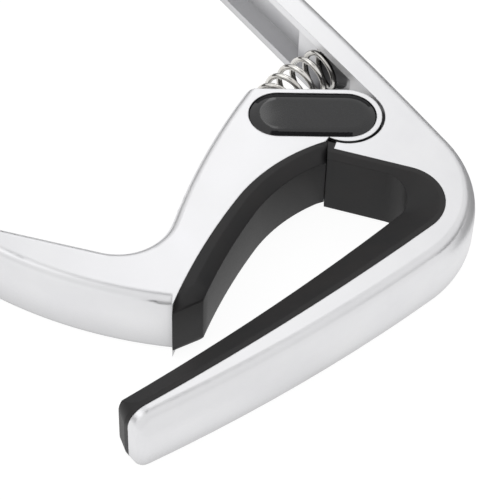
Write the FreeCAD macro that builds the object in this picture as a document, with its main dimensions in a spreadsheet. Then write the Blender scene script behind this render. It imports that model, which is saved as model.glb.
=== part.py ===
"""Trigger capo: two die-cast jaws on one pivot pin, rubber pads, a return spring and a badge.

Millimetres and degrees.  The capo lies on its rear side: the pivot axis is Z through the origin,
the rear faces are at Z 0 and the badge side looks up.  The string bar runs along -X below the
pivot, the fixed handle runs up +Y and the lever lies between them on the left.
"""
import FreeCAD, Part
import math
import os

import Sketcher
from FreeCAD import Placement, Rotation, Vector

doc = FreeCAD.newDocument("Capo")

# --------------------------------------------------------------------------- driving sizes
SIZES = (
    # both castings
    ("casting_width", 12.5),
    ("shoulder_radius", 1.6),
    ("shoulder_turn", 60.0),
    ("crown_radius", 7.6),
    ("end_edge_radius", 1.4),
    # pivot
    ("pin_radius", 2.0),
    ("pin_head_radius", 3.0),
    ("pin_head_height", 0.9),
    ("pin_end_gap", 0.15),
    ("running_gap", 0.03),
    ("bush_wall", 1.0),
    ("tongue_radius", 5.0),
    ("cheek_thickness", 3.1),
    ("washer_thickness", 0.25),
    ("washer_radius", 4.6),
    ("washer_gap", 0.025),
    ("boss_radius", 5.65),
    ("boss_gap", 0.5),
    # fixed jaw: throat, string bar, bend and handle
    ("throat_offset", 7.65),
    ("throat_slope", 55.8),
    ("throat_length", 24.8),
    ("bar_reach", 62.8),
    ("bar_fall", 1.09),
    ("bar_seat_radius", 480.0),
    ("bar_tip_depth", 2.75),
    ("bar_back_radius", 290.0),
    ("bar_tip_radius", 3.1),
    ("bend_seat_radius", 7.0),
    ("bend_wall_across", 1.14),
    ("bend_wall_below", 5.19),
    ("bend_radius", 19.0),
    ("handle_back_radius", 880.0),
    ("handle_back_x", 14.0),
    ("handle_reach", 62.0),
    ("handle_tip_depth", 4.6),
    ("handle_tip_radius", 5.0),
    ("handle_wall", 1.6),
    ("handle_web", 2.3),
    ("handle_end_wall", 2.6),
    ("rim_offset", 6.2),
    ("channel_start", 6.8),
    # spring and its seats
    ("block_low", 9.2),
    ("block_high", 23.0),
    ("block_face", 9.2),
    ("pocket_height", 14.3),
    ("pocket_radius", 4.0),
    ("pocket_depth", 1.2),
    ("spring_radius", 2.85),
    ("spring_wire_radius", 0.45),
    ("spring_turns", 6.5),
    ("spring_bow", 20.0),
    ("spring_seat_x", 8.3),
    ("spring_seat_y", 10.3),
    ("spring_seat_angle", 30.0),
    ("spring_seat_wall", 2.0),
    # lever
    ("head_angle", 141.5),
    ("head_length", 16.1),
    ("head_corner_radius", 2.6),
    ("flank_radius", 125.0),
    ("crook_x", 42.3),
    ("crook_drop", 5.9),
    ("crook_radius", 8.5),
    ("lever_angle", 126.2),
    ("lever_rim_length", 38.0),
    ("lever_tip_depth", 3.0),
    ("lever_tip_radius", 5.0),
    ("lever_tip_back_radius", 51.0),
    ("knee_x", 60.4),
    ("knee_y", 10.3),
    ("lever_back_radius", 70.0),
    ("jaw_tip_x", 45.1),
    ("jaw_tip_drop", 13.1),
    ("neck_seat_tip_x", 45.8),
    ("neck_seat_tip_drop", 14.0),
    ("neck_seat_x", 24.1),
    ("neck_seat_drop", 2.9),
    ("neck_seat_radius", 105.0),
    ("neck_crown_radius", 30.0),
    ("neck_seat_angle", 20.3),
    ("lever_wall", 2.0),
    ("lever_skin", 2.3),
    ("heel_x", 43.6),
    ("heel_drop", 9.4),
    ("cavity_end", 4.0),
    ("cheek_pad_radius", 6.6),
    ("clevis_radius", 7.2),
    ("cavity_start_x", 8.6),
    ("cavity_start_y", 0.6),
    ("lever_edge_radius", 1.4),
    ("rim_edge_radius", 1.4),
    # rubber pads
    ("seam_x", 6.25),
    ("seam_drop", 2.4),
    ("seam_angle", 229.0),
    ("seam_gap", 0.35),
    ("throat_pad", 2.0),
    ("bend_pad", 8.9),
    ("bar_pad_tip", 3.3),
    ("bar_pad_radius", 400.0),
    ("pad_bend_radius", 4.0),
    ("pad_side", 0.9),
    ("pad_taper", 27.0),
    ("pad_taper_depth", 6.8),
    ("pad_end_slant", 0.8),
    ("neck_pad", 3.2),
    ("neck_pad_tip_x", 40.6),
    ("neck_pad_tip_drop", 14.95),
    ("neck_pad_tip_radius", 2.2),
    ("neck_bevel_width", 1.6),
    ("neck_bevel_depth", 1.9),
    # badge
    ("badge_length", 11.0),
    ("badge_radius", 4.8),
    ("badge_gap", 0.08),
    ("badge_recess", 1.0),
    ("badge_plate", 0.4),
    ("badge_dome", 0.85),
    ("dome_fall", 0.45),
    ("dome_slope_width", 1.3),
    ("dome_foot_radius", 0.25),
    ("dome_ease_radius", 3.0),
)

sheet = doc.addObject("Spreadsheet::Sheet", "Sizes")
for row, (alias, value) in enumerate(SIZES, start=1):
    sheet.set("A%d" % row, alias)
    sheet.set("B%d" % row, str(value))
    sheet.setAlias("B%d" % row, alias)
doc.recompute()


class Term:
    """A size kept both as a number, to draw with, and as the sheet expression to bind."""

    def __init__(self, value, text):
        self.value = float(value)
        self.text = text

    @staticmethod
    def of(other):
        return other if isinstance(other, Term) else Term(other, repr(float(other)))

    def __add__(self, other):
        other = Term.of(other)
        return Term(self.value + other.value, "(%s + %s)" % (self.text, other.text))

    def __sub__(self, other):
        other = Term.of(other)
        return Term(self.value - other.value, "(%s - %s)" % (self.text, other.text))

    def __mul__(self, other):
        other = Term.of(other)
        return Term(self.value * other.value, "(%s * %s)" % (self.text, other.text))

    def __truediv__(self, other):
        other = Term.of(other)
        return Term(self.value / other.value, "(%s / %s)" % (self.text, other.text))

    def __neg__(self):
        return Term(-self.value, "(-1 * %s)" % self.text)


def size(alias):
    return Term(sheet.get(alias), "Sizes.%s" % alias)


def cosine(angle):
    return Term(math.cos(math.radians(angle.value)), "cos(%s)" % angle.text)


def sine(angle):
    return Term(math.sin(math.radians(angle.value)), "sin(%s)" % angle.text)


def shift(point, distance, direction):
    """The point moved a distance along a unit direction."""
    return (point[0] + distance * direction[0], point[1] + distance * direction[1])


def heading(angle):
    return (cosine(angle), sine(angle))


def across(direction):
    """The direction turned a quarter turn to the left."""
    return (-direction[1], direction[0])


def root(term):
    return Term(math.sqrt(term.value), "sqrt(%s)" % term.text)


def dot(a, b):
    return a[0] * b[0] + a[1] * b[1]


# --------------------------------------------------------------------------- feature helpers
def new_body(name):
    body = doc.addObject("PartDesign::Body", name)
    body.Label = name
    body.Placement = Placement()
    return body


def new_sketch(body, name, plane="XY_Plane", height=None):
    """A sketch on one of the body's origin planes, raised along the plane's normal."""
    sketch = body.newObject("Sketcher::SketchObject", name)
    support = [item for item in body.Origin.OriginFeatures if item.Role == plane][0]
    sketch.AttachmentSupport = [(support, "")]
    sketch.MapMode = "FlatFace"
    if height is not None:
        sketch.AttachmentOffset = Placement(Vector(0, 0, height.value), Rotation())
        sketch.setExpression("AttachmentOffset.Base.z", height.text)
    return sketch


def bind(sketch, name, term, *where):
    index = sketch.addConstraint(Sketcher.Constraint(where[0], *where[1:], term.value))
    sketch.renameConstraint(index, name)
    sketch.setExpression("Constraints." + name, term.text)


def draw_path(sketch, points, arcs, closed=True):
    """Lines through the points; arcs gives an edge a radius, positive when it bulges right."""
    spots = [Vector(x.value, y.value, 0) for x, y in points]
    count = len(spots) if closed else len(spots) - 1
    for index in range(count):
        start = spots[index]
        end = spots[(index + 1) % len(spots)]
        if index not in arcs:
            sketch.addGeometry(Part.LineSegment(start, end), False)
            continue
        radius = arcs[index].value
        chord = end - start
        right = Vector(chord.y, -chord.x, 0).normalize()
        rise = abs(radius) - math.sqrt(radius ** 2 - (chord.Length / 2) ** 2)
        crown = (start + end) / 2 + right * math.copysign(rise, radius)
        sketch.addGeometry(Part.Arc(start, crown, end), False)
        bind(sketch, "radius%d" % index, Term(abs(radius), "abs(%s)" % arcs[index].text),
             "Radius", index)
    ends = {}
    for index in range(count):
        flipped = index in arcs and arcs[index].value < 0
        ends[index] = (2, 1) if flipped else (1, 2)
    for index in range(count if closed else count - 1):
        following = (index + 1) % count
        sketch.addConstraint(Sketcher.Constraint(
            "Coincident", index, ends[index][1], following, ends[following][0]))
    for index, (x, y) in enumerate(points):
        last = index == count
        edge = count - 1 if last else index
        end = ends[edge][1] if last else ends[edge][0]
        bind(sketch, "x%d" % index, x, "DistanceX", -1, 1, edge, end)
        bind(sketch, "y%d" % index, y, "DistanceY", -1, 1, edge, end)


def draw_circle(sketch, x, y, radius):
    index = sketch.addGeometry(
        Part.Circle(Vector(x.value, y.value, 0), Vector(0, 0, 1), radius.value), False)
    bind(sketch, "radius%d" % index, radius, "Radius", index)
    bind(sketch, "x%d" % index, x, "DistanceX", -1, 1, index, 3)
    bind(sketch, "y%d" % index, y, "DistanceY", -1, 1, index, 3)


def extrude(body, kind, name, sketch, length, both_ways=False, reverse=False):
    """A Pad or a Pocket; stops the build when it changes nothing."""
    before = body.Tip.Shape.Volume if body.Tip else 0.0
    feature = body.newObject("PartDesign::" + kind, name)
    feature.Profile = sketch
    feature.SideType = "Symmetric" if both_ways else "One side"
    feature.Reversed = reverse
    feature.Length = length.value
    feature.setExpression("Length", length.text)
    sketch.Visibility = False
    doc.recompute()
    grown = feature.Shape.Volume - before
    if (grown > 0) != (kind == "Pad"):
        raise RuntimeError("%s %s left the volume as it was" % (body.Label, name))
    return feature


def upright_edge(shape, x, y):
    """The edge along Z that stands nearest to a point of the plan."""
    def distance(item):
        middle = item[1].CenterOfMass
        return math.hypot(middle.x - x.value, middle.y - y.value)

    upright = []
    for number, edge in enumerate(shape.Edges, start=1):
        run = edge.Vertexes[-1].Point - edge.Vertexes[0].Point
        if math.hypot(run.x, run.y) < 1e-6 and abs(run.z) > 1e-6:
            upright.append((number, edge))
    return "Edge%d" % min(upright, key=distance)[0]


def nearest_edge(shape, x, y, z):
    """The edge whose middle lies nearest to a point."""
    spot = Vector(x.value, y.value, z.value)

    def distance(item):
        edge = item[1]
        middle = edge.valueAt((edge.FirstParameter + edge.LastParameter) / 2)
        return (middle - spot).Length

    return "Edge%d" % min(enumerate(shape.Edges, start=1), key=distance)[0]


def edge_at(shape, x, y, z):
    """The edge that passes nearest to a point."""
    spot = Part.Vertex(x.value, y.value, z.value)
    named = enumerate(shape.Edges, start=1)
    return "Edge%d" % min(named, key=lambda item: item[1].distToShape(spot)[0])[0]


def dress(body, kind, name, edges, amount, second=None):
    """A Fillet, or a Chamfer with one or two distances, on named edges of the body."""
    base = body.Tip
    feature = body.newObject("PartDesign::" + kind, name)
    feature.Base = (base, sorted(set(edges)))
    key = "Radius" if kind == "Fillet" else "Size"
    if second is not None:
        feature.ChamferType = "Two distances"
        feature.Size2 = second.value
        feature.setExpression("Size2", second.text)
    setattr(feature, key, amount.value)
    feature.setExpression(key, amount.text)
    doc.recompute()
    if feature.Shape.isNull() or not feature.Shape.isValid():
        raise RuntimeError("%s %s failed" % (body.Label, name))
    return feature


def sweep_away(body, name, sketch, carrier, edges):
    """Takes a section away all along some edges of an earlier shape of the body."""
    before = body.Tip.Shape.Volume
    cut = body.newObject("PartDesign::SubtractivePipe", name)
    cut.Profile = sketch
    cut.Spine = (carrier, edges)
    cut.Mode = "Binormal"
    cut.Binormal = Vector(0, 0, 1)
    sketch.Visibility = False
    doc.recompute()
    if cut.Shape.isNull() or cut.Shape.Volume >= before:
        raise RuntimeError("%s %s took nothing off" % (body.Label, name))


# --------------------------------------------------------------------------- shared places
width = size("casting_width")
middle = width / 2
zero = Term(0, "0")
origin = (zero, zero)

slope = size("throat_slope")
down_throat = (cosine(slope), -sine(slope))
off_throat = (-sine(slope), -cosine(slope))
throat_foot = shift(origin, size("throat_offset"), off_throat)
bend_seat = shift(throat_foot, size("throat_length"), down_throat)
bar_tip = (-size("bar_reach"), bend_seat[1] - size("bar_fall"))
recess_radius = size("boss_radius") + size("boss_gap")
recess_depth = size("cheek_thickness") + size("washer_thickness") + size("washer_gap") * 2
tongue = width - recess_depth * 2

seam = heading(size("seam_angle"))
seam_middle = (-size("seam_x"), -size("seam_drop"))
jaw_seam = shift(seam_middle, size("seam_gap") / 2, across(seam))
neck_seam = shift(seam_middle, -size("seam_gap") / 2, across(seam))
neck_seat_middle = (-size("neck_seat_x"), -size("neck_seat_drop"))
neck_seat_tip = (-size("neck_seat_tip_x"), -size("neck_seat_tip_drop"))

seat_facing = heading(size("spring_seat_angle"))
spring_foot = (-size("spring_seat_x"), size("spring_seat_y"))

# --------------------------------------------------------------------------- fixed jaw
jaw = new_body("fixed_jaw")
bar_heel = (bar_tip[0], bar_tip[1] - size("bar_tip_depth"))
bend_corner = (bend_seat[0] + size("bend_wall_across"), bend_seat[1] - size("bend_wall_below"))
handle_end = (size("handle_back_x"), size("handle_reach"))
handle_rim = (handle_end[0] - size("handle_tip_depth"), handle_end[1])
rim_start = (size("rim_offset"), zero)

sketch = new_sketch(jaw, "JawOutline", height=middle)
draw_path(sketch,
          [throat_foot, bend_seat, bar_tip, bar_heel, bend_corner, handle_end, handle_rim,
           rim_start, origin],
          {1: -size("bar_seat_radius"), 3: size("bar_back_radius"),
           4: size("handle_back_radius")})
extrude(jaw, "Pad", "JawBlank", sketch, width, both_ways=True)
dress(jaw, "Fillet", "BendSeat", [upright_edge(jaw.Tip.Shape, *bend_seat)],
      size("bend_seat_radius"))
sharp_back = dress(jaw, "Fillet", "BendOuter", [upright_edge(jaw.Tip.Shape, *bend_corner)],
                   size("bend_radius"))

# round recesses for the lever's two cheeks, then the tongue between them
for name, height, upward in (("RearRecess", zero, True), ("FrontRecess", width, False)):
    sketch = new_sketch(jaw, name + "Circle", height=height)
    draw_circle(sketch, zero, zero, recess_radius)
    extrude(jaw, "Pocket", name, sketch, recess_depth, reverse=upward)
sketch = new_sketch(jaw, "TongueCircle", height=middle)
draw_circle(sketch, zero, zero, size("tongue_radius"))
extrude(jaw, "Pad", "Tongue", sketch, tongue, both_ways=True)
sketch = new_sketch(jaw, "BushBoreCircle", height=middle)
bush_radius = size("pin_radius") + size("running_gap") + size("bush_wall")
draw_circle(sketch, zero, zero, bush_radius)
extrude(jaw, "Pocket", "BushBore", sketch, tongue + size("washer_gap"), both_ways=True)


def back_x(y, inset):
    """X of the handle's back at a height, moved inwards."""
    rise = (y - bend_corner[1]) / (handle_end[1] - bend_corner[1])
    chord = bend_corner[0] + (handle_end[0] - bend_corner[0]) * rise
    bulge = (y - bend_corner[1]) * (handle_end[1] - y) / (size("handle_back_radius") * 2)
    return chord + bulge - inset


# the handle's channel, open towards the lever, and the block that holds the spring pocket
channel_end = size("handle_reach") - size("handle_end_wall")
open_side = -size("boss_radius")
channel_width = width - size("handle_wall") * 2
sketch = new_sketch(jaw, "ChannelOutline", height=middle)
draw_path(sketch,
          [(open_side, size("channel_start")),
           (back_x(size("channel_start"), size("handle_web")), size("channel_start")),
           (back_x(channel_end, size("handle_web")), channel_end),
           (open_side, channel_end)],
          {1: size("handle_back_radius") - size("handle_web")})
extrude(jaw, "Pocket", "Channel", sketch, channel_width, both_ways=True)
sketch = new_sketch(jaw, "BlockOutline", height=middle)
block_back = back_x(size("block_low"), size("handle_web") / 2)
draw_path(sketch,
          [(size("block_face"), size("block_low")), (block_back, size("block_low")),
           (block_back, size("block_high")), (size("block_face"), size("block_high"))], {})
extrude(jaw, "Pad", "SpringBlock", sketch, channel_width, both_ways=True)
sketch = new_sketch(jaw, "PocketCircle", plane="YZ_Plane", height=size("block_face"))
draw_circle(sketch, size("pocket_height"), middle, size("pocket_radius"))
extrude(jaw, "Pocket", "SpringPocket", sketch, size("pocket_depth"), reverse=True)

# rounded handle end inside and out, and the rounded bar end
end_x = handle_end[0] - size("handle_tip_depth") / 2
inner_x = back_x(channel_end, size("handle_web")) - (size("handle_tip_depth")
                                                     - size("handle_web")) / 2
dress(jaw, "Fillet", "ChannelEnd",
      [nearest_edge(jaw.Tip.Shape, inner_x, channel_end, size("handle_wall")),
       nearest_edge(jaw.Tip.Shape, inner_x, channel_end, width - size("handle_wall"))],
      size("handle_tip_radius") - size("handle_wall"))
dress(jaw, "Fillet", "HandleEnd",
      [nearest_edge(jaw.Tip.Shape, end_x, handle_end[1], zero),
       nearest_edge(jaw.Tip.Shape, end_x, handle_end[1], width)],
      size("handle_tip_radius"))
bar_end_y = bar_tip[1] - size("bar_tip_depth") / 2
dress(jaw, "Fillet", "BarEnd",
      [nearest_edge(jaw.Tip.Shape, bar_tip[0], bar_end_y, zero),
       nearest_edge(jaw.Tip.Shape, bar_tip[0], bar_end_y, width)],
      size("bar_tip_radius"))

# the crowned back: on each side a tight shoulder that eases into a wide crown runs along the
# bar, round the bend and up the handle, and both ends are softened after it
turn = size("shoulder_turn")
shoulder = size("shoulder_radius")
crown = size("crown_radius")
whole = Term(1, "1")
shoulder_end = (shoulder * sine(turn), shoulder * (whole - cosine(turn)))
back_depth = shoulder_end[0] + crown * (whole - sine(turn))
back_reach = shoulder_end[1] + crown * cosine(turn)
back_edges = [edge_at(sharp_back.Shape, bar_heel[0] + shoulder, bar_heel[1], zero),
              edge_at(sharp_back.Shape, *bend_corner, zero),
              edge_at(sharp_back.Shape, handle_end[0], handle_end[1] - shoulder, zero)]
below = bar_heel[1] - shoulder
for name, level, inwards in (("RearCrown", zero, 1), ("FrontCrown", width, -1)):
    sketch = new_sketch(jaw, name + "Section", plane="YZ_Plane", height=bar_heel[0])
    outside = level - shoulder * inwards
    crest = level + back_reach * inwards
    draw_path(sketch,
              [(bar_heel[1] + back_depth, level),
               (bar_heel[1] + back_depth - shoulder_end[0], level + shoulder_end[1] * inwards),
               (bar_heel[1], crest), (below, crest), (below, outside),
               (bar_heel[1] + back_depth, outside)],
              {0: shoulder * -inwards, 1: crown * -inwards})
    sweep_away(jaw, name, sketch, sharp_back, back_edges)
dress(jaw, "Fillet", "BarEndEdge",
      [nearest_edge(jaw.Tip.Shape, bar_heel[0], bar_heel[1], middle)], size("end_edge_radius"))
dress(jaw, "Fillet", "HandleEndEdge",
      [nearest_edge(jaw.Tip.Shape, handle_end[0], handle_end[1], middle)],
      size("end_edge_radius"))

# --------------------------------------------------------------------------- lever
lever = new_body("lever")
head_along = heading(size("head_angle"))
head_out = (head_along[1], -head_along[0])
head_start = shift(origin, size("boss_radius"), head_out)
head_corner = shift(head_start, size("head_length"), head_along)
crook = (-size("crook_x"), -size("crook_drop"))
rim_along = heading(size("lever_angle"))
rim_out = across(rim_along)
rim_end = shift(crook, size("lever_rim_length"), rim_along)
lever_end = shift(rim_end, size("lever_tip_depth"), rim_out)
knee = (-size("knee_x"), size("knee_y"))
jaw_tip = (-size("jaw_tip_x"), -size("jaw_tip_drop"))

sketch = new_sketch(lever, "LeverOutline", height=middle)
draw_path(sketch,
          [head_start, head_corner, crook, rim_end, lever_end, knee, jaw_tip, neck_seat_tip,
           neck_seat_middle, neck_seam, origin],
          {1: size("flank_radius"), 4: -size("lever_tip_back_radius"),
           5: size("lever_back_radius"), 7: -size("neck_seat_radius"),
           8: -size("neck_crown_radius")})
extrude(lever, "Pad", "LeverBlank", sketch, width, both_ways=True)
dress(lever, "Fillet", "Crook", [upright_edge(lever.Tip.Shape, *crook)], size("crook_radius"))
sketch = new_sketch(lever, "BossCircle", height=middle)
draw_circle(sketch, zero, zero, size("boss_radius"))
extrude(lever, "Pad", "Boss", sketch, width, both_ways=True)

# the hollow behind the skin, open towards the fixed handle, with a wall across it for the spring
skin = size("lever_skin")
wall_back = shift(spring_foot, -size("spring_seat_wall"), seat_facing)
wall_along = across(seat_facing)
seat_normal = across(heading(size("neck_seat_angle")))
clear = size("crook_radius")
cavity_start = (-size("cavity_start_x"), size("cavity_start_y"))
wall_start = shift(wall_back, (cavity_start[0] - wall_back[0]) / wall_along[0], wall_along)
knee_chord = (knee[0] - jaw_tip[0], knee[1] - jaw_tip[1])
knee_span = root(dot(knee_chord, knee_chord))
knee_inward = (knee_chord[1] / knee_span, -knee_chord[0] / knee_span)
rim_cut = shift(rim_end, -size("cavity_end"), rim_along)
sketch = new_sketch(lever, "HollowOutline", height=middle)
draw_path(sketch,
          [cavity_start,
           shift(neck_seat_middle, skin, seat_normal),
           (-size("heel_x"), -size("heel_drop")),
           shift(knee, skin, knee_inward),
           shift(rim_cut, size("lever_tip_depth") / 4, rim_out),
           shift(rim_cut, -clear, rim_out),
           shift(crook, clear, (zero, Term(1, "1"))),
           shift(wall_back, clear, wall_along),
           wall_start],
          {0: size("neck_crown_radius") + skin, 1: size("neck_seat_radius") + skin,
           2: -(size("lever_back_radius") - skin)})
hollow_width = width - size("lever_wall") * 2
extrude(lever, "Pocket", "Hollow", sketch, hollow_width, both_ways=True)

face_offset = dot(spring_foot, seat_facing)
pad_radius = size("cheek_pad_radius")
face_reach = root(pad_radius * pad_radius - face_offset * face_offset)
face_start = shift(shift(origin, face_offset, seat_facing), face_reach, wall_along)
sketch = new_sketch(lever, "SpringBayOutline", height=middle)
draw_path(sketch,
          [shift(spring_foot, clear, wall_along),
           face_start,
           shift(origin, pad_radius, head_out),
           shift(origin, pad_radius + clear, head_out)],
          {1: -pad_radius})
extrude(lever, "Pocket", "SpringBay", sketch, hollow_width, both_ways=True)
sketch = new_sketch(lever, "ClevisCircle", height=middle)
draw_circle(sketch, zero, zero, size("clevis_radius"))
extrude(lever, "Pocket", "Clevis", sketch, width - size("cheek_thickness") * 2, both_ways=True)

# pin bore with a counterbore for the head, and the shallow badge recess
bore_top = width - size("badge_recess") / 2
sketch = new_sketch(lever, "PinBoreCircle", height=zero)
draw_circle(sketch, zero, zero, size("pin_radius"))
extrude(lever, "Pocket", "PinBore", sketch, bore_top, reverse=True)
sketch = new_sketch(lever, "HeadBoreCircle", height=zero)
draw_circle(sketch, zero, zero, size("pin_head_radius"))
extrude(lever, "Pocket", "HeadBore", sketch, size("pin_head_height"), reverse=True)


def draw_slot(sketch, radius):
    """A round-ended slot from the pivot along the head."""
    far = shift(origin, size("badge_length"), head_along)
    near_side = shift(origin, radius, head_out)
    far_side = shift(far, radius, head_out)
    draw_path(sketch,
              [near_side, far_side, shift(far, radius, head_along),
               shift(far, -radius, head_out), shift(origin, -radius, head_out),
               shift(origin, -radius, head_along)],
              {1: radius, 2: radius, 4: radius, 5: radius})


sketch = new_sketch(lever, "BadgeRecessSlot", height=width)
draw_slot(sketch, size("badge_radius"))
extrude(lever, "Pocket", "BadgeRecess", sketch, size("badge_recess"))

# soft edges: the rims first, then the corners, the handle end and the ridge along its back
flank_middle = ((head_corner[0] + crook[0]) / 2, (head_corner[1] + crook[1]) / 2)
dress(lever, "Fillet", "HandleEnd",
      [nearest_edge(lever.Tip.Shape, (rim_end[0] + lever_end[0]) / 2,
                    (rim_end[1] + lever_end[1]) / 2, level) for level in (zero, width)],
      size("lever_tip_radius"))
dress(lever, "Fillet", "RimEdge",
      [edge_at(lever.Tip.Shape, *flank_middle, level) for level in (zero, width)],
      size("rim_edge_radius"))
back_middle = ((knee[0] + jaw_tip[0]) / 2, (knee[1] + jaw_tip[1]) / 2)
dress(lever, "Fillet", "BackRidge",
      [edge_at(lever.Tip.Shape, *back_middle, level) for level in (zero, width)],
      size("lever_edge_radius"))

# the head's upper corner, cut round after the rim so that both keep their own radius
flank_chord = (crook[0] - head_corner[0], crook[1] - head_corner[1])
flank_span = root(dot(flank_chord, flank_chord))
lean = flank_span / (size("flank_radius") * 2)
upright = root(whole - lean * lean)
flank_along = ((flank_chord[0] * upright + flank_chord[1] * lean) / flank_span,
               (flank_chord[1] * upright - flank_chord[0] * lean) / flank_span)
corner_sine = head_along[0] * flank_along[1] - head_along[1] * flank_along[0]
half_turn_tangent = (whole - dot(head_along, flank_along)) / corner_sine
corner_run = size("head_corner_radius") * half_turn_tangent
corner_cap = shift(head_corner, size("head_corner_radius"), head_out)
sketch = new_sketch(lever, "HeadCornerOutline", height=middle)
draw_path(sketch,
          [shift(head_corner, -corner_run, head_along), corner_cap,
           shift(corner_cap, clear, across(head_out)),
           shift(head_corner, corner_run, flank_along)],
          {3: -size("head_corner_radius")})
extrude(lever, "Pocket", "HeadCorner", sketch, width, both_ways=True)

# --------------------------------------------------------------------------- rubber pads
string_pad = new_body("string_pad")
throat_face = shift(origin, size("throat_offset") + size("throat_pad"), off_throat)
pad_corner = shift(throat_face, size("throat_length") - size("bend_pad"), down_throat)
seam_run = ((size("throat_offset") + size("throat_pad") - dot(jaw_seam, off_throat))
            / dot(seam, off_throat))
pad_shoulder = (bar_tip[0], bar_tip[1] + size("pad_side"))
pad_tip = (bar_tip[0] + size("pad_end_slant"), bar_tip[1] + size("bar_pad_tip"))
sketch = new_sketch(string_pad, "StringPadOutline", height=middle)
draw_path(sketch,
          [throat_foot, bend_seat, bar_tip, pad_shoulder, pad_tip, pad_corner,
           shift(jaw_seam, seam_run, seam), jaw_seam,
           shift(origin, recess_radius + size("seam_gap"), off_throat)],
          {1: -size("bar_seat_radius"), 4: size("bar_pad_radius")})
extrude(string_pad, "Pad", "StringPadBlank", sketch, width, both_ways=True)
blank = dress(string_pad, "Fillet", "BendOuter",
              [upright_edge(string_pad.Tip.Shape, *bend_seat)], size("bend_seat_radius"))
dress(string_pad, "Fillet", "BendInner",
      [upright_edge(string_pad.Tip.Shape, *pad_corner)], size("pad_bend_radius"))
slant_x = (pad_shoulder[0] + pad_tip[0]) / 2
dress(string_pad, "Fillet", "PadEnd",
      [nearest_edge(string_pad.Tip.Shape, bar_tip[0], bar_tip[1] + size("pad_side") / 2, level)
       for level in (zero, width)]
      + [nearest_edge(string_pad.Tip.Shape, slant_x, (pad_shoulder[1] + pad_tip[1]) / 2, level)
         for level in (zero, width)],
      size("bar_tip_radius"))

# both long sides lean in above a narrow upright strip: one wedge follows the seat on each side
taper_depth = size("pad_taper_depth")
narrowing = (taper_depth - size("pad_side")) * sine(size("pad_taper")) / cosine(size("pad_taper"))
seat_edges = [edge_at(blank.Shape, *shift(throat_foot, size("pad_side"), down_throat), zero),
              edge_at(blank.Shape, *bend_seat, zero),
              edge_at(blank.Shape, bar_tip[0] + size("pad_side"), bar_tip[1], zero)]
turn = Term(90, "90") - slope
for name, level, inwards in (("RearTaper", zero, 1), ("FrontTaper", width, -1)):
    sketch = new_sketch(string_pad, name + "Section", plane="XZ_Plane")
    sketch.AttachmentOffset = Placement(Vector(throat_foot[0].value, 0, -throat_foot[1].value),
                                        Rotation(Vector(0, 1, 0), turn.value))
    sketch.setExpression("AttachmentOffset.Base.x", throat_foot[0].text)
    sketch.setExpression("AttachmentOffset.Base.z", (-throat_foot[1]).text)
    sketch.setExpression("AttachmentOffset.Rotation.Angle", turn.text)
    outside = level - clear * inwards
    draw_path(sketch, [(-size("pad_side"), level), (-taper_depth, level + narrowing * inwards),
                       (-taper_depth, outside), (-size("pad_side"), outside)], {})
    extrude(string_pad, "Pocket", name + "Start", sketch, clear)
    sweep_away(string_pad, name, sketch, blank, seat_edges)

neck_pad = new_body("neck_pad")
pad_middle = shift(neck_seat_middle, -size("neck_pad"), seat_normal)
neck_pad_tip = (-size("neck_pad_tip_x"), -size("neck_pad_tip_drop"))
sketch = new_sketch(neck_pad, "NeckPadOutline", height=middle)
draw_path(sketch,
          [neck_seat_tip, neck_seat_middle, neck_seam,
           shift(neck_seam, size("neck_pad"), seam), pad_middle, neck_pad_tip],
          {0: -size("neck_seat_radius"), 1: -size("neck_crown_radius"),
           3: size("neck_crown_radius") - size("neck_pad"),
           4: size("neck_seat_radius") - size("neck_pad")})
extrude(neck_pad, "Pad", "NeckPadBlank", sketch, width, both_ways=True)
tip_middle = ((neck_seat_tip[0] + neck_pad_tip[0]) / 2, (neck_seat_tip[1] + neck_pad_tip[1]) / 2)
bevel_middle = ((pad_middle[0] + neck_pad_tip[0]) / 2, (pad_middle[1] + neck_pad_tip[1]) / 2)
dress(neck_pad, "Chamfer", "NeckBevel",
      [nearest_edge(neck_pad.Tip.Shape, *bevel_middle, level) for level in (zero, width)],
      size("neck_bevel_width"), second=size("neck_bevel_depth"))
dress(neck_pad, "Fillet", "NeckPadTip",
      [nearest_edge(neck_pad.Tip.Shape, *tip_middle, level) for level in (zero, width)],
      size("neck_pad_tip_radius"))

# --------------------------------------------------------------------------- pivot
tongue_rear = recess_depth
tongue_front = width - recess_depth


def turned(name, points):
    """A piece turned about the pivot axis from its half section of radius and height."""
    body = new_body(name)
    sketch = new_sketch(body, name.title().replace("_", "") + "Section", plane="XZ_Plane")
    draw_path(sketch, points, {})
    feature = body.newObject("PartDesign::Revolution", name.title().replace("_", ""))
    feature.Profile = sketch
    feature.ReferenceAxis = (sketch, ["V_Axis"])
    feature.Angle = 360
    sketch.Visibility = False
    doc.recompute()
    return body


def ring(name, inner, outer, low, high):
    return turned(name, [(inner, low), (outer, low), (outer, high), (inner, high)])


pin_top = width - size("badge_recess") - size("pin_end_gap")
head_top = size("pin_head_height")
pivot_pin = turned("pivot_pin", [
    origin, (size("pin_head_radius"), zero), (size("pin_head_radius"), head_top),
    (size("pin_radius"), head_top), (size("pin_radius"), pin_top), (zero, pin_top)])
bore = size("pin_radius") + size("running_gap")
pivot_bush = ring("pivot_bush", bore, bush_radius, tongue_rear, tongue_front)
washer_rear = ring("thrust_washer_rear", bore, size("washer_radius"),
                   tongue_rear - size("washer_gap") - size("washer_thickness"),
                   tongue_rear - size("washer_gap"))
washer_front = ring("thrust_washer_front", bore, size("washer_radius"),
                    tongue_front + size("washer_gap"),
                    tongue_front + size("washer_gap") + size("washer_thickness"))

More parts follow.
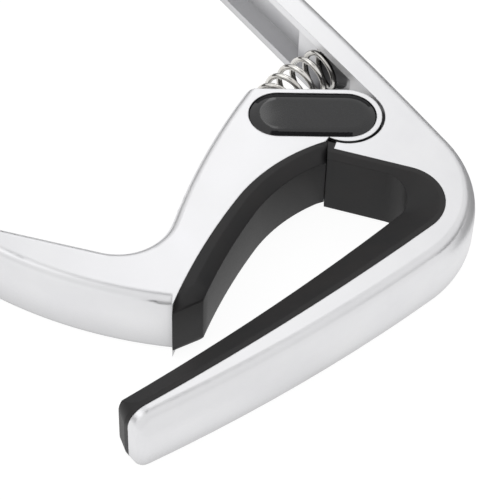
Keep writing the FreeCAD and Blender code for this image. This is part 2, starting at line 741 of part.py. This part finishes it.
# --------------------------------------------------------------------------- badge
recess_floor = width - size("badge_recess")
plate_radius = size("badge_radius") - size("badge_gap")
badge_plate = new_body("badge_plate")
sketch = new_sketch(badge_plate, "BadgePlateSlot", height=recess_floor)
draw_slot(sketch, plate_radius)
extrude(badge_plate, "Pad", "BadgePlate", sketch, size("badge_plate"))
badge_dome = new_body("badge_dome")
dome_base = recess_floor + size("badge_plate")
sketch = new_sketch(badge_dome, "BadgeDomeSlot", height=dome_base)
draw_slot(sketch, plate_radius)
extrude(badge_dome, "Pad", "BadgeDome", sketch, size("badge_dome"))
dome_top = dome_base + size("badge_dome")
dome_foot = shift(shift(origin, plate_radius, head_out), size("badge_length") / 2, head_along)
dome_brow = shift(dome_foot, -size("dome_slope_width"), head_out)
dress(badge_dome, "Chamfer", "DomeSlope",
      [nearest_edge(badge_dome.Tip.Shape, *dome_foot, dome_top)],
      size("dome_fall"), second=size("dome_slope_width"))
dress(badge_dome, "Fillet", "DomeEase",
      [nearest_edge(badge_dome.Tip.Shape, *dome_brow, dome_top)], size("dome_ease_radius"))
dress(badge_dome, "Fillet", "DomeFoot",
      [nearest_edge(badge_dome.Tip.Shape, *dome_foot, dome_top - size("dome_fall"))],
      size("dome_foot_radius"))

# --------------------------------------------------------------------------- return spring
# the wire runs round a bowed centre line from the lever's wall to the jaw's pocket
wire = size("spring_wire_radius").value
coil = size("spring_radius").value
half_bow = math.radians(size("spring_bow").value)
lift = wire * 1.3
start = Vector(spring_foot[0].value, spring_foot[1].value, middle.value)
facing = Vector(seat_facing[0].value, seat_facing[1].value, 0)
pocket_floor = size("block_face").value + size("pocket_depth").value
end = Vector(pocket_floor, size("pocket_height").value, middle.value)
start = start + facing * lift
end = end - Vector(lift, 0, 0)
chord = end - start
along = Vector(chord).normalize()
outward = Vector(-along.y, along.x, 0)
bow_radius = chord.Length / 2 / math.sin(half_bow)
bow_centre = (start + end) / 2 - outward * bow_radius * math.cos(half_bow)
turns = size("spring_turns").value
steps = int(turns * 14)
wire_points = []
for step in range(steps + 1):
    share = step / steps
    lean = half_bow * (2 * share - 1)
    outwards = outward * math.cos(lean) + along * math.sin(lean)
    swing = 2 * math.pi * turns * share
    wire_points.append(bow_centre + outwards * (bow_radius + coil * math.cos(swing))
                       + Vector(0, 0, coil * math.sin(swing)))
helix = Part.BSplineCurve()
helix.interpolate(wire_points)
path = Part.Wire([helix.toShape()])
section = Part.Wire([Part.makeCircle(wire, helix.value(helix.FirstParameter),
                                     helix.tangent(helix.FirstParameter)[0])])
return_spring = doc.addObject("Part::Feature", "return_spring")
return_spring.Label = "return_spring"
return_spring.Shape = path.makePipeShell([section], True, True)
return_spring.Placement = Placement()

# --------------------------------------------------------------------------- checks and files
PIECES = (jaw, string_pad, pivot_bush, lever, neck_pad, pivot_pin, washer_rear, washer_front,
          badge_plate, badge_dome, return_spring)
doc.recompute()
for item in doc.Objects:
    if "Invalid" in item.State or "Error" in item.State:
        raise RuntimeError("%s did not rebuild" % item.Label)
os.makedirs("parts", exist_ok=True)
for piece in PIECES:
    if piece.Shape.isNull() or not piece.Shape.isValid():
        raise RuntimeError("%s has no sound shape" % piece.Label)
    piece.Shape.exportStep("parts/%s.step" % piece.Label)
    print(piece.Label, round(piece.Shape.Volume, 2), len(piece.Shape.Solids))
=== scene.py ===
"""Trigger capo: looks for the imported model.  Metres, in the frame of the CAD model."""
import math

import bmesh
import bpy
from mathutils import Matrix, Vector


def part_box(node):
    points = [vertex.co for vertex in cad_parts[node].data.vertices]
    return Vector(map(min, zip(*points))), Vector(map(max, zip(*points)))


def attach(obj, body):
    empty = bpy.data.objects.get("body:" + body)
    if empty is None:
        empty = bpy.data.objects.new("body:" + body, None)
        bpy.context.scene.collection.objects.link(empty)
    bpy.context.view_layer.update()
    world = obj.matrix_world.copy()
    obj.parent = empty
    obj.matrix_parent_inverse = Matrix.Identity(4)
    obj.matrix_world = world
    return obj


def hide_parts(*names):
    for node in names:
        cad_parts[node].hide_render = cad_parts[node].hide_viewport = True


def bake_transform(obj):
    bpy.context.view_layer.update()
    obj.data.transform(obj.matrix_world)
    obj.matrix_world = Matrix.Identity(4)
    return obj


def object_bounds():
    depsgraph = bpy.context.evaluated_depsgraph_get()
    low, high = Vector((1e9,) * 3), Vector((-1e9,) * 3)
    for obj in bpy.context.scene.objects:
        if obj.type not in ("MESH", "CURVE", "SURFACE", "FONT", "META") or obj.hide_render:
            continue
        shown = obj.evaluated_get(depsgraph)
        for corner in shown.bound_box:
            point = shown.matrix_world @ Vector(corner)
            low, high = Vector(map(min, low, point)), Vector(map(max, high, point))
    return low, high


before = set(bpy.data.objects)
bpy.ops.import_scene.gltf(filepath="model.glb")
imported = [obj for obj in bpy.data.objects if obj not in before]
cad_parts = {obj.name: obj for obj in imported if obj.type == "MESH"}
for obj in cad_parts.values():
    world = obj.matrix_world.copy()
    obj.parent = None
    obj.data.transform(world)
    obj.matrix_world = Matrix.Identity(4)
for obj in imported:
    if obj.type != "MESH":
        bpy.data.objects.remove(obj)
cad_low, cad_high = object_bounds()
MM = 0.001


# --------------------------------------------------------------------------- shader helpers
BLACK = (0.0, 0.0, 0.0, 1.0)
# the share of open space round a point above which no painted shade darkens its colour
WIDE_OPEN = 0.85


class Shader:
    """A material's node tree, with short calls to add nodes and to join them."""

    def __init__(self, name):
        self.material = bpy.data.materials.new(name)
        self.material.use_nodes = True
        self.tree = self.material.node_tree
        self.surface = self.tree.nodes["Principled BSDF"]
        self.place = self.add("ShaderNodeTexCoord").outputs["Object"]

    def add(self, kind, inputs=None, **settings):
        node = self.tree.nodes.new(kind)
        for key, value in settings.items():
            setattr(node, key, value)
        for key, value in (inputs or {}).items():
            self.put(node.inputs[key], value)
        return node

    def put(self, socket, value):
        if isinstance(value, bpy.types.NodeSocket):
            self.tree.links.new(value, socket)
        else:
            socket.default_value = value

    def set(self, **inputs):
        for key, value in inputs.items():
            self.put(self.surface.inputs[key.replace("_", " ")], value)

    def noise(self, scale, detail=4.0, roughness=0.55):
        inputs = {"Vector": self.place, "Scale": scale, "Detail": detail, "Roughness": roughness}
        return self.add("ShaderNodeTexNoise", inputs).outputs["Fac"]

    def between(self, value, low, high, start=0.0, end=1.0):
        inputs = {"Value": value, "From Min": start, "From Max": end, "To Min": low, "To Max": high}
        return self.add("ShaderNodeMapRange", inputs).outputs["Result"]

    def mix(self, share, first, second):
        node = self.add("ShaderNodeMix", data_type="RGBA")
        self.put(node.inputs["Factor"], share)
        self.put(node.inputs["A"], first)
        self.put(node.inputs["B"], second)
        return node.outputs["Result"]

    def bump(self, height, strength, distance, below=None):
        inputs = {"Height": height, "Strength": strength, "Distance": distance}
        if below is not None:
            inputs["Normal"] = below
        return self.add("ShaderNodeBump", inputs).outputs["Normal"]

    def painted_shade(self, colour, reach, deepest, shut=0.15):
        """Painted shade: a colour that falls to the share deepest of itself where walls within reach
        close in on it.
        """
        open_share = self.add("ShaderNodeAmbientOcclusion", {"Distance": reach}, samples=8).outputs["AO"]
        return self.mix(self.between(open_share, 0.0, 1.0, shut, WIDE_OPEN),
                        self.mix(1.0 - deepest, colour, BLACK), colour)

    def soft_edge(self, radius):
        """A normal that rounds the edges by this radius."""
        return self.add("ShaderNodeBevel", {"Radius": radius}, samples=4).outputs["Normal"]


def grey(value):
    return (value, value, value, 1.0)


# --------------------------------------------------------------------------- materials
def satin_casting():
    """Die-cast aluminium, tumbled to a fine satin: soft reflections, faint grain and clouding, and
    painted shade that darkens its channel and other recesses.
    """
    shader = Shader("satin_casting")
    cloud = shader.noise(90.0, detail=3.0)
    grain = shader.noise(5200.0, detail=2.0, roughness=0.7)
    wave = shader.noise(160.0, detail=1.0, roughness=0.4)
    colour = shader.mix(shader.between(cloud, 0.0, 1.0, 0.3, 0.7),
                        (0.70, 0.70, 0.715, 1.0), (0.76, 0.76, 0.77, 1.0))
    normal = shader.bump(wave, strength=0.10, distance=0.4 * MM, below=shader.soft_edge(0.22 * MM))
    normal = shader.bump(grain, strength=0.10, distance=0.02 * MM, below=normal)
    # painted shade: the casting's colour falls to 45 per cent of itself where walls close in, as in the
    # channel
    shader.set(Base_Color=shader.painted_shade(colour, reach=10.0 * MM, deepest=0.45), Metallic=1.0,
               Normal=normal, Roughness=shader.between(cloud, 0.32, 0.40, 0.3, 0.7))
    return shader.material


def moulded_rubber():
    """Charcoal rubber with a fine moulded grain and a little bloom."""
    shader = Shader("moulded_rubber")
    cloud = shader.noise(140.0, detail=4.0)
    grain = shader.noise(6500.0, detail=3.0, roughness=0.65)
    colour = shader.mix(shader.between(cloud, 0.0, 1.0, 0.35, 0.7),
                        (0.018, 0.018, 0.019, 1.0), (0.025, 0.023, 0.023, 1.0))
    normal = shader.bump(grain, strength=0.22, distance=0.03 * MM, below=shader.soft_edge(0.25 * MM))
    shader.set(Base_Color=colour, Normal=normal, Roughness=shader.between(grain, 0.44, 0.60))
    shader.surface.inputs["Specular IOR Level"].default_value = 0.33
    return shader.material


def glossy_dome():
    """Clear domed resin over black: deep, smooth, with the faint waviness of a poured surface."""
    shader = Shader("glossy_dome")
    wave = shader.noise(260.0, detail=1.0, roughness=0.3)
    speck = shader.noise(3800.0, detail=2.0)
    colour = shader.mix(shader.between(speck, 0.0, 1.0, 0.3, 0.75),
                        (0.012, 0.012, 0.013, 1.0), (0.020, 0.020, 0.022, 1.0))
    shader.set(Base_Color=colour, Roughness=shader.between(wave, 0.05, 0.09),
               Normal=shader.bump(wave, strength=0.10, distance=0.1 * MM))
    return shader.material


def printed_plate():
    """The black plate under the dome."""
    shader = Shader("printed_plate")
    grain = shader.noise(4200.0, detail=3.0)
    colour = shader.mix(grain, (0.010, 0.010, 0.011, 1.0), (0.022, 0.022, 0.023, 1.0))
    shader.set(Base_Color=colour, Roughness=shader.between(grain, 0.30, 0.45),
               Normal=shader.bump(grain, strength=0.1, distance=0.01 * MM))
    return shader.material


def bright_nickel():
    """Polished nickel plate on spring wire, with faint drawing marks and painted shade that darkens the
    coil's inner turns.
    """
    shader = Shader("bright_nickel")
    marks = shader.noise(2600.0, detail=3.0, roughness=0.6)
    cloud = shader.noise(420.0, detail=2.0)
    colour = shader.mix(shader.between(cloud, 0.0, 1.0, 0.3, 0.7),
                        (0.60, 0.58, 0.55, 1.0), (0.78, 0.77, 0.74, 1.0))
    # painted shade: the wire's colour falls nearly to black where the turns close in on it
    shader.set(Base_Color=shader.painted_shade(colour, reach=6.0 * MM, deepest=0.06, shut=0.35), Metallic=1.0,
               Roughness=shader.between(marks, 0.06, 0.14),
               Normal=shader.bump(marks, strength=0.08, distance=0.01 * MM))
    return shader.material


def turned_metal(name, dark, light, rough):
    """A turned face: fine rings about the pivot axis."""
    shader = Shader(name)
    rings = shader.add("ShaderNodeTexWave",
                       {"Vector": shader.place, "Scale": 900.0, "Distortion": 0.6, "Detail": 2.0},
                       wave_type="RINGS", rings_direction="Z").outputs["Fac"]
    grain = shader.noise(3000.0, detail=3.0)
    colour = shader.mix(grain, dark, light)
    shader.set(Base_Color=colour, Metallic=1.0,
               Roughness=shader.between(grain, rough - 0.05, rough + 0.07),
               Normal=shader.bump(rings, strength=0.12, distance=0.02 * MM,
                                  below=shader.soft_edge(0.15 * MM)))
    return shader.material


def moulded_nylon():
    """Dark nylon of the thrust washers."""
    shader = Shader("moulded_nylon")
    grain = shader.noise(5000.0, detail=3.0)
    colour = shader.mix(grain, (0.030, 0.030, 0.031, 1.0), (0.050, 0.050, 0.052, 1.0))
    shader.set(Base_Color=colour, Roughness=shader.between(grain, 0.5, 0.66),
               Normal=shader.bump(grain, strength=0.15, distance=0.02 * MM))
    return shader.material


def dress(nodes, material):
    """Gives CAD nodes their material."""
    for name in nodes:
        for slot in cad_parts[name].material_slots:
            slot.material = material


nickel = bright_nickel()
rubber = moulded_rubber()
dress(("fixed_jaw", "lever"), satin_casting())
dress(("string_pad", "neck_pad"), rubber)
dress(("badge_dome",), glossy_dome())
dress(("badge_plate",), printed_plate())
dress(("return_spring",), nickel)
dress(("thrust_washer_rear", "thrust_washer_front"), moulded_nylon())
dress(("pivot_pin",), turned_metal("turned_steel", (0.55, 0.55, 0.56, 1.0),
                                   (0.68, 0.68, 0.69, 1.0), 0.26))
dress(("pivot_bush",), turned_metal("turned_bronze", (0.50, 0.33, 0.16, 1.0),
                                    (0.62, 0.43, 0.22, 1.0), 0.30))

# --------------------------------------------------------------------------- neck pad
# rubber leaves its mould with soft edges, and its pivot end comes close to the string pad at rest;
# the tip's upright edges, taller than TIP_EDGE and within TIP_REACH of the free end, are rounder
TIP_ROUND = 1.1 * MM
EDGE_ROUND = 0.30 * MM
TIP_REACH = 6.0 * MM
TIP_EDGE = 2.0 * MM
SEAM_BULGE = 0.28 * MM
SEAM_MARGIN = 1.0 * MM
SHARP_TURN = math.radians(32.0)
FLAT_TURN = math.radians(1.0)
WELD = 0.001 * MM
TOLERANCE = 0.01 * MM
SLIVER = 0.005 * MM


def round_edges(form, radius, segments, chosen, clamped=True):
    """Rounds the sharp edges of a mesh that the test chooses."""
    sharp = [edge for edge in form.edges
             if len(edge.link_faces) == 2 and edge.calc_face_angle() > SHARP_TURN and chosen(edge)]
    bmesh.ops.bevel(form, geom=sharp, offset=radius, offset_type="OFFSET", segments=segments,
                    profile=0.5, affect="EDGES", clamp_overlap=clamped)


def moulded_pad(name, source):
    """The neck pad's form with rounded edges, fuller at the end that faces the string pad."""
    form = bmesh.new()
    form.from_mesh(source.data)
    bmesh.ops.remove_doubles(form, verts=form.verts, dist=WELD)
    bmesh.ops.dissolve_limit(form, angle_limit=FLAT_TURN, verts=form.verts, edges=form.edges)
    right_end = max(vertex.co.x for vertex in form.verts)
    # the seam is the largest upright face at the pivot end
    seam = max((face for face in form.faces
                if max(vertex.co.x for vertex in face.verts) > right_end - TOLERANCE
                and abs(face.normal.z) < 0.1 and face.normal.x > 0.3),
               key=lambda face: face.calc_area())
    outward = seam.normal.copy()
    for vertex in seam.verts:
        vertex.co += outward * SEAM_BULGE
    left_end = min(vertex.co.x for vertex in form.verts)
    round_edges(form, TIP_ROUND, 5,
                lambda edge: all(vertex.co.x < left_end + TIP_REACH for vertex in edge.verts)
                and abs(edge.verts[0].co.z - edge.verts[1].co.z) > TIP_EDGE, clamped=False)
    round_edges(form, EDGE_ROUND, 3,
                lambda edge: all(vertex.co.x < right_end - SEAM_MARGIN for vertex in edge.verts)
                and any(vertex.co.x > left_end + TIP_REACH for vertex in edge.verts))
    bmesh.ops.remove_doubles(form, verts=form.verts, dist=TOLERANCE)
    bmesh.ops.dissolve_degenerate(form, edges=form.edges, dist=SLIVER)
    bmesh.ops.triangulate(form, faces=form.faces)
    mesh = bpy.data.meshes.new(name)
    form.to_mesh(mesh)
    form.free()
    mesh.shade_smooth()
    mesh.set_sharp_from_angle(angle=SHARP_TURN)
    pad = bpy.data.objects.new(name, mesh)
    bpy.context.scene.collection.objects.link(pad)
    return pad


soft_pad = moulded_pad("neck_pad_moulding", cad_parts["neck_pad"])
soft_pad.data.materials.append(rubber)
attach(soft_pad, "trigger")
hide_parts("neck_pad")

# --------------------------------------------------------------------------- return spring
# one end of the coil sits at the lever, the other at the jaw; it is built in its shape at rest, though
# on the capo its turns close up as the lever opens
WIRE_RADIUS = 0.50 * MM
COIL_RADIUS = 3.35 * MM
COIL_TURNS = 7.25
STEPS_PER_TURN = 40
WIRE_SIDES = 14
END_GATHER = 0.10
HALF_BOW = math.radians(20.0)
# how far the ends of the coil's centre line lie inside the box of the CAD spring
LEVER_INSET = 1.75 * MM
END_INSET = 3.3 * MM


def bowed_coil(name, start, end):
    """Round wire wound about an arc from start to end, with closer turns at both ends."""
    chord = end - start
    along = chord.normalized()
    outward = Vector((-along.y, along.x, 0.0))
    bow_radius = chord.length / 2 / math.sin(HALF_BOW)
    centre = (start + end) / 2 - outward * bow_radius * math.cos(HALF_BOW)
    steps = int(COIL_TURNS * STEPS_PER_TURN)
    points = []
    for step in range(steps + 1):
        turned = step / steps
        share = turned - END_GATHER * math.sin(2 * math.pi * turned) / (2 * math.pi)
        lean = HALF_BOW * (2 * share - 1)
        outwards = outward * math.cos(lean) + along * math.sin(lean)
        swing = 2 * math.pi * COIL_TURNS * turned
        points.append((centre + outwards * (bow_radius + COIL_RADIUS * math.cos(swing))
                       + Vector((0.0, 0.0, COIL_RADIUS * math.sin(swing))),
                       centre + outwards * bow_radius))
    corners, faces = [], []
    for step, (point, core) in enumerate(points):
        before = points[max(step - 1, 0)][0]
        after = points[min(step + 1, steps)][0]
        tangent = (after - before).normalized()
        across = tangent.cross(point - core).normalized()
        out = across.cross(tangent)
        for side in range(WIRE_SIDES):
            angle = 2 * math.pi * side / WIRE_SIDES
            corners.append(point + (out * math.cos(angle) + across * math.sin(angle)) * WIRE_RADIUS)
    for step in range(steps):
        for side in range(WIRE_SIDES):
            low = step * WIRE_SIDES
            high = low + WIRE_SIDES
            following = (side + 1) % WIRE_SIDES
            faces.append((low + following, high + following, high + side, low + side))
    faces.append(tuple(reversed(range(WIRE_SIDES))))
    faces.append(tuple(range(steps * WIRE_SIDES, (steps + 1) * WIRE_SIDES)))
    mesh = bpy.data.meshes.new(name)
    mesh.from_pydata(corners, [], faces)
    mesh.shade_smooth()
    coil = bpy.data.objects.new(name, mesh)
    bpy.context.scene.collection.objects.link(coil)
    return coil


spring_low, spring_high = (Vector(corner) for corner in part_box("return_spring"))
axis_height = (spring_low.z + spring_high.z) / 2
lever_seat = Vector((spring_low.x + LEVER_INSET, spring_low.y + END_INSET, axis_height))
jaw_seat = Vector((spring_high.x - WIRE_RADIUS, spring_high.y - END_INSET, axis_height))
coil = bowed_coil("return_coil", lever_seat, jaw_seat)
coil.data.materials.append(nickel)
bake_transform(coil)
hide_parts("return_spring")

# --------------------------------------------------------------------------- stage and light
FLOOR_REACH = 3.0
FLOOR_GAP = 0.02 * MM
CARD_SPANS = 32
HORIZON_RADIUS = 0.45
HORIZON_START = math.radians(-60.0)
HORIZON_SWEEP = math.radians(220.0)
HORIZON_HEIGHTS = (0.020, 0.170)
OVERHEAD_RADIUS = 0.12
OVERHEAD_HEIGHT = 0.60
SIDE_GAP = 1.0 * MM
SIDE_END = 0.40
SIDE_NEAR = -0.05
SIDE_FAR = 0.40


def seen_rays(tree):
    """Sockets that are 1 for rays from the camera, and for rays from metal or glass."""
    path = tree.nodes.new("ShaderNodeLightPath")
    mirrored = tree.nodes.new("ShaderNodeMath")
    mirrored.operation = "MAXIMUM"
    tree.links.new(path.outputs["Is Glossy Ray"], mirrored.inputs[0])
    tree.links.new(path.outputs["Is Transmission Ray"], mirrored.inputs[1])
    return path.outputs["Is Camera Ray"], mirrored.outputs[0]


def level_by_ray(tree, seen, reflected, otherwise):
    """A strength for camera rays, one for reflected rays and one for all others."""
    camera_ray, mirrored_ray = seen_rays(tree)
    value = otherwise
    for ray, level in ((mirrored_ray, reflected), (camera_ray, seen)):
        node = tree.nodes.new("ShaderNodeMix")
        tree.links.new(ray, node.inputs["Factor"])
        if isinstance(value, bpy.types.NodeSocket):
            tree.links.new(value, node.inputs["A"])
        else:
            node.inputs["A"].default_value = value
        node.inputs["B"].default_value = level
        value = node.outputs["Result"]
    return value


def floor_white():
    """White paper that glows towards the camera and keeps a faint shadow."""
    material = bpy.data.materials.new("floor_white")
    material.use_nodes = True
    tree = material.node_tree
    surface = tree.nodes["Principled BSDF"]
    surface.inputs["Base Color"].default_value = grey(0.18)
    surface.inputs["Roughness"].default_value = 0.9
    surface.inputs["Specular IOR Level"].default_value = 0.0
    surface.inputs["Emission Color"].default_value = grey(1.0)
    tree.links.new(level_by_ray(tree, seen=0.93, reflected=1.0, otherwise=0.0),
                   surface.inputs["Emission Strength"])
    return material


def dark_card(name, corners, faces, level):
    """A card that only reflections see, as a photographer sets one, to draw the metal's edges, or to lie
    in them as painted shade.
    """
    mesh = bpy.data.meshes.new(name)
    mesh.from_pydata(corners, [], faces)
    card = bpy.data.objects.new(name, mesh)
    bpy.context.scene.collection.objects.link(card)
    material = bpy.data.materials.new(name)
    material.use_nodes = True
    surface = material.node_tree.nodes["Principled BSDF"]
    surface.inputs["Base Color"].default_value = grey(level)
    surface.inputs["Roughness"].default_value = 0.9
    card.data.materials.append(material)
    card.visible_camera = False
    card.visible_shadow = False
    card.visible_diffuse = False


floor_mesh = bpy.data.meshes.new("floor")
floor_mesh.from_pydata([(-FLOOR_REACH, -FLOOR_REACH, 0), (FLOOR_REACH, -FLOOR_REACH, 0),
                        (FLOOR_REACH, FLOOR_REACH, 0), (-FLOOR_REACH, FLOOR_REACH, 0)],
                       [], [(0, 1, 2, 3)])
floor = bpy.data.objects.new("floor", floor_mesh)
floor.location.z = cad_low.z - FLOOR_GAP
bpy.context.scene.collection.objects.link(floor)
floor.data.materials.append(floor_white())

# a low card that curves round behind the object
ring = []
for span in range(CARD_SPANS + 1):
    angle = HORIZON_START + HORIZON_SWEEP * span / CARD_SPANS
    for height in HORIZON_HEIGHTS:
        ring.append((HORIZON_RADIUS * math.cos(angle), HORIZON_RADIUS * math.sin(angle), height))
dark_card("horizon_card", ring,
          [(2 * span, 2 * span + 2, 2 * span + 3, 2 * span + 1) for span in range(CARD_SPANS)],
          level=0.42)

# a round card overhead
disc = []
for span in range(CARD_SPANS):
    angle = 2 * math.pi * span / CARD_SPANS
    disc.append((OVERHEAD_RADIUS * math.cos(angle), OVERHEAD_RADIUS * math.sin(angle), OVERHEAD_HEIGHT))
dark_card("overhead_card", disc, [tuple(range(CARD_SPANS))], level=0.35)

# a card that lies flat beside the object: painted shade that stands in for the floor's shade seen in the
# metal's reflections
side_start = cad_high.x + SIDE_GAP
dark_card("floor_shade_card", [(side_start, SIDE_NEAR, cad_low.z), (SIDE_END, SIDE_NEAR, cad_low.z),
                        (SIDE_END, SIDE_FAR, cad_low.z), (side_start, SIDE_FAR, cad_low.z)],
          [(0, 1, 2, 3)], level=0.50)

world = bpy.data.worlds.new("studio")
bpy.context.scene.world = world
world.use_nodes = True
tree = world.node_tree
background = tree.nodes["Background"]
background.inputs["Color"].default_value = grey(1.0)
tree.links.new(level_by_ray(tree, seen=1.0, reflected=1.0, otherwise=0.62),
               background.inputs["Strength"])


def softbox(name, place, width, height, power):
    """A rectangular lamp that faces the pivot."""
    lamp = bpy.data.lights.new(name, "AREA")
    lamp.shape = "RECTANGLE"
    lamp.size = width
    lamp.size_y = height
    lamp.energy = power
    holder = bpy.data.objects.new(name, lamp)
    holder.location = place
    holder.rotation_mode = "QUATERNION"
    holder.rotation_quaternion = (-Vector(place)).to_track_quat("-Z", "Y")
    bpy.context.scene.collection.objects.link(holder)


softbox("key_softbox", (-0.45, 0.30, 0.60), width=0.45, height=0.45, power=0.35)
softbox("rim_strip", (0.30, 0.42, 0.50), width=0.06, height=0.55, power=0.16)

# --------------------------------------------------------------------------- camera
# 50 degrees above the table, looking across the capo from the bar's free end
heading = math.radians(50.0)
elevation = math.radians(50.0)
roll = math.radians(-1.9)
distance = 344.0 * MM
lens_angle = math.radians(13.27)
# the pivot lies this far right of the line of sight, and above it
pivot_right = 15.52 * MM
pivot_up = 21.6 * MM
face_height = 12.5 * MM
forward = Vector((math.cos(elevation) * math.cos(heading), math.cos(elevation) * math.sin(heading),
                  -math.sin(elevation)))
level_right = Vector((math.sin(heading), -math.cos(heading), 0.0))
level_up = level_right.cross(forward)
right = math.cos(roll) * level_right - math.sin(roll) * level_up
up = math.sin(roll) * level_right + math.cos(roll) * level_up
pivot_face = Vector((0.0, 0.0, face_height))
aim = forward * distance + right * pivot_right + up * pivot_up
camera_data = bpy.data.cameras.new("camera")
camera_data.sensor_width = 36.0
camera_data.lens = camera_data.sensor_width / 2 / math.tan(lens_angle / 2)
camera_data.clip_start = 0.01
camera = bpy.data.objects.new("camera", camera_data)
basis = Matrix((right, up, -forward)).transposed().to_4x4()
camera.matrix_world = Matrix.Translation(pivot_face - aim) @ basis
bpy.context.scene.collection.objects.link(camera)
bpy.context.scene.camera = camera

bpy.context.scene.view_settings.view_transform = "Standard"
